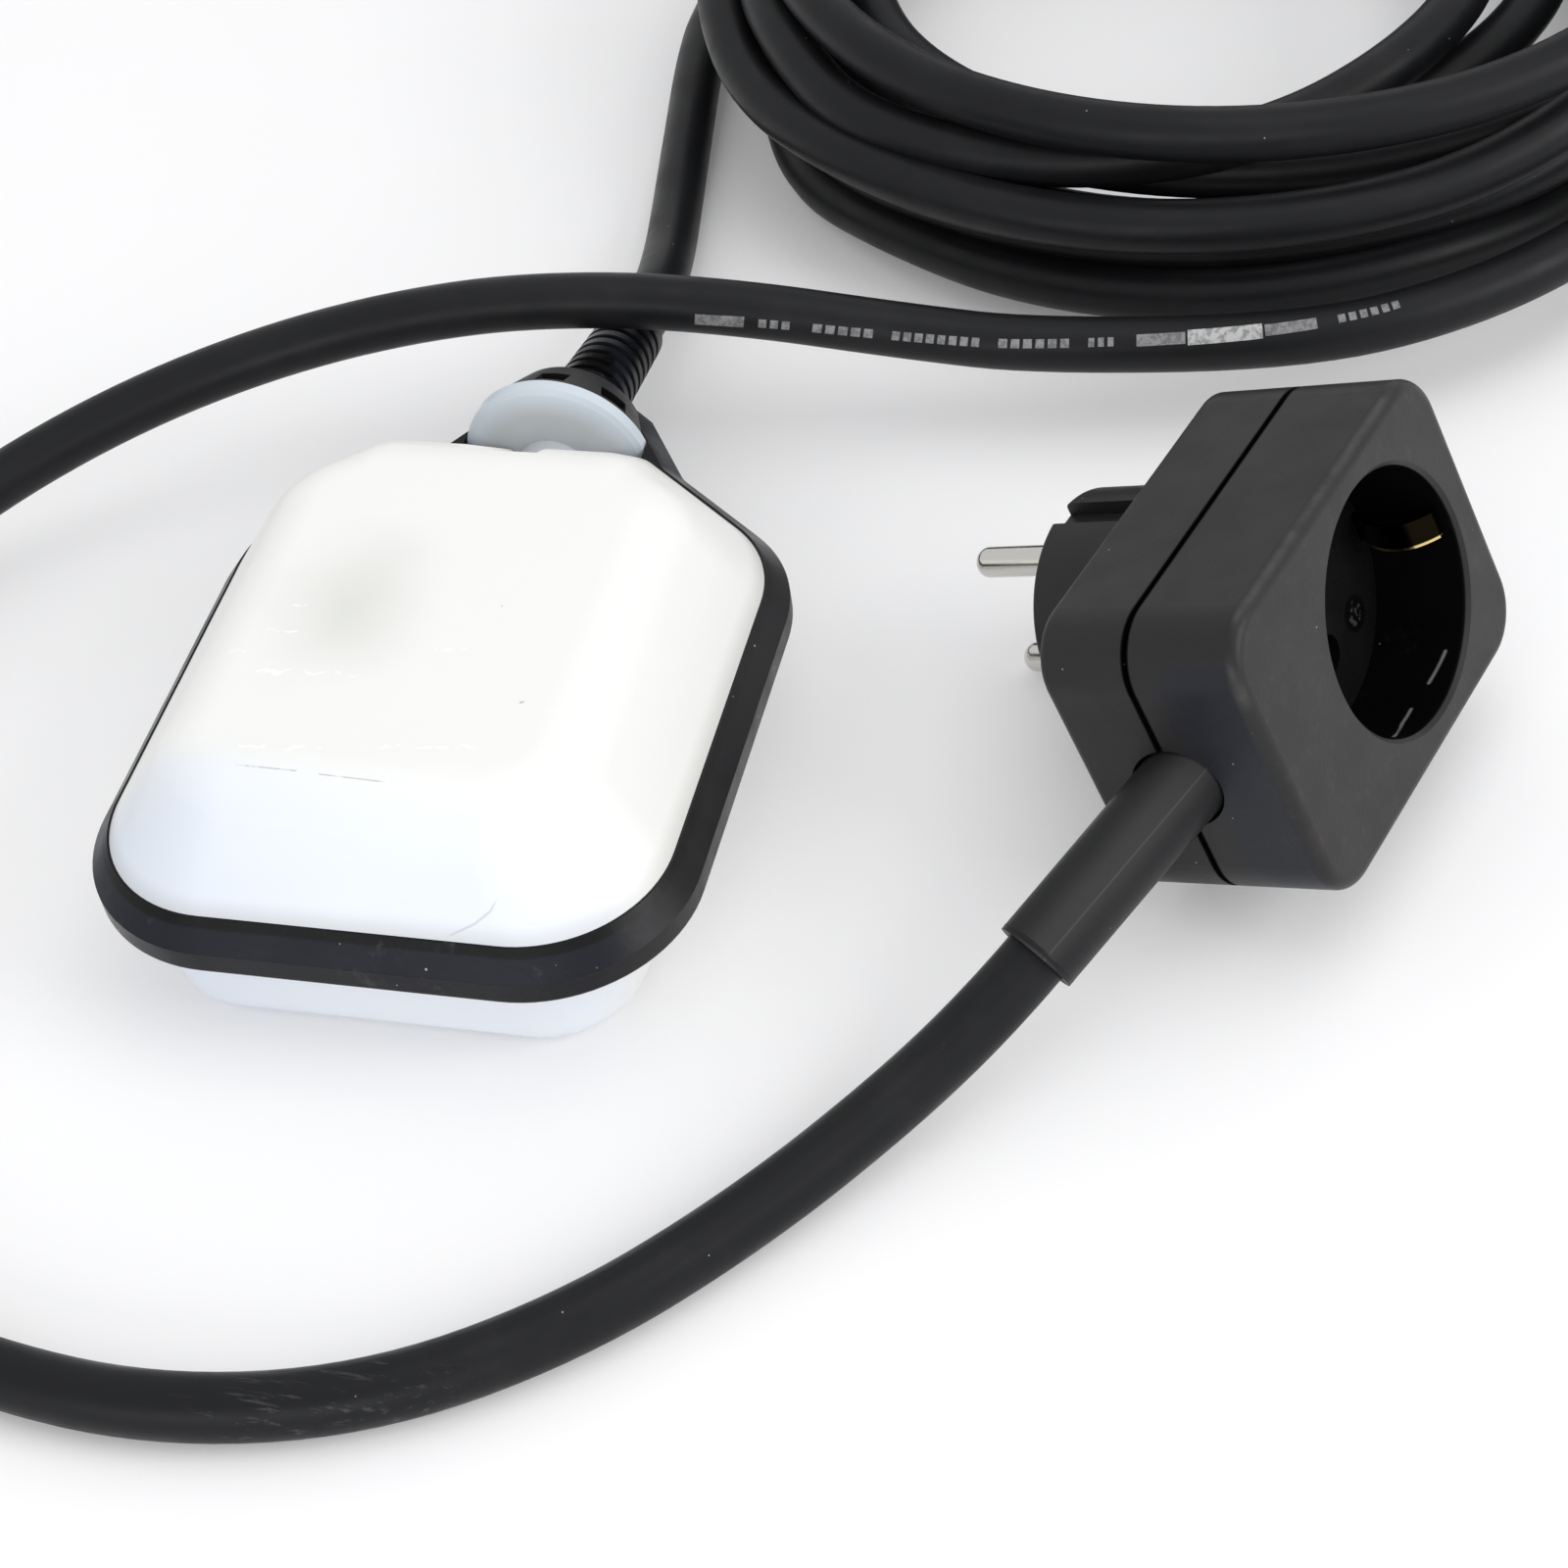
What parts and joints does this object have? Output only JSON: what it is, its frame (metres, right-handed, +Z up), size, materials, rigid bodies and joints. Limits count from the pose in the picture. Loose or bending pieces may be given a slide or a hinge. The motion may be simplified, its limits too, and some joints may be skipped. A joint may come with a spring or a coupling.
{
  "type": "cable float switch",
  "caption": "Flat cable float switch with two white shells round a black seal, a rubber cable, its coil and a plug that carries a socket.",
  "frame": {"origin": "on the surface it lies on, under the middle of the float's body", "axes": "+Z up, +Y along the float towards its cable, +X across the float"},
  "size_m": [0.3216, 0.4391, 0.0591],
  "materials": {
    "white_shell": "satin",
    "black_seal": "satin",
    "grey_disc": "satin",
    "black_collar": "matte",
    "cable_rubber": "matte",
    "grommet_rubber": "matte",
    "capsule_plastic": "matte",
    "switch_plastic": "matte",
    "steel": "polished",
    "switch_button": "matte",
    "brass": "satin",
    "core_brown": "matte",
    "core_blue": "matte",
    "core_black": "matte",
    "plug_plastic": "matte",
    "insert_plastic": "matte",
    "pin_metal": "polished"
  },
  "bodies": {
    "float": {"upper_shell": "white_shell", "lower_shell": "white_shell", "rim_seal": "black_seal", "gland_disc": "grey_disc", "gland_collar": "black_collar", "bend_relief": "black_seal", "cable_grommet": "grommet_rubber", "inner_cable": "cable_rubber", "capsule_base": "capsule_plastic", "capsule_cover": "capsule_plastic", "capsule_screws": "steel", "ball_track": "capsule_plastic", "microswitch": "switch_plastic", "lever_pin": "steel", "switch_terminals": "brass", "conductor_brown": "core_brown", "conductor_blue": "core_blue", "conductor_black": "core_black", "plug_front": "plug_plastic", "plug_back": "plug_plastic", "socket_insert": "insert_plastic", "insert_screws": "steel", "pin_upper": "pin_metal", "pin_lower": "pin_metal", "contact_sleeve_upper": "brass", "contact_sleeve_lower": "brass", "earth_clip_left": "brass", "earth_clip_right": "brass", "earth_strap": "brass", "earth_side_strips": "brass", "plug_sleeve": "cable_rubber", "plug_cable_end": "cable_rubber", "cable_clamp": "insert_plastic", "cable_coil": "cable_rubber", "cable_lead": "cable_rubber", "cable_run": "cable_rubber"},
    "ball": {"steel_ball": "steel"},
    "lever": {"switch_lever": "steel"},
    "plunger": {"switch_plunger": "switch_button"}
  },
  "joints": [
    {"name": "ball_roll", "type": "slide", "parent": "float", "child": "ball", "axis": [0, 1, 0], "range_m": [0, 0.00821]},
    {"name": "lever_turn", "type": "hinge", "parent": "float", "child": "lever", "pos_m": [-0.016, -0.009, 0.0215], "axis": [0, 0, 1], "range_deg": [0, 23]},
    {"name": "plunger_press", "type": "slide", "parent": "float", "child": "plunger", "axis": [0, 1, 0], "range_m": [0, 0.0014]}
  ],
  "couplings": [
    {"joint": "ball_roll", "follows": "lever_turn", "m_per_rad": 0.02043},
    {"joint": "plunger_press", "follows": "lever_turn", "m_per_rad": 0.00347}
  ]
}
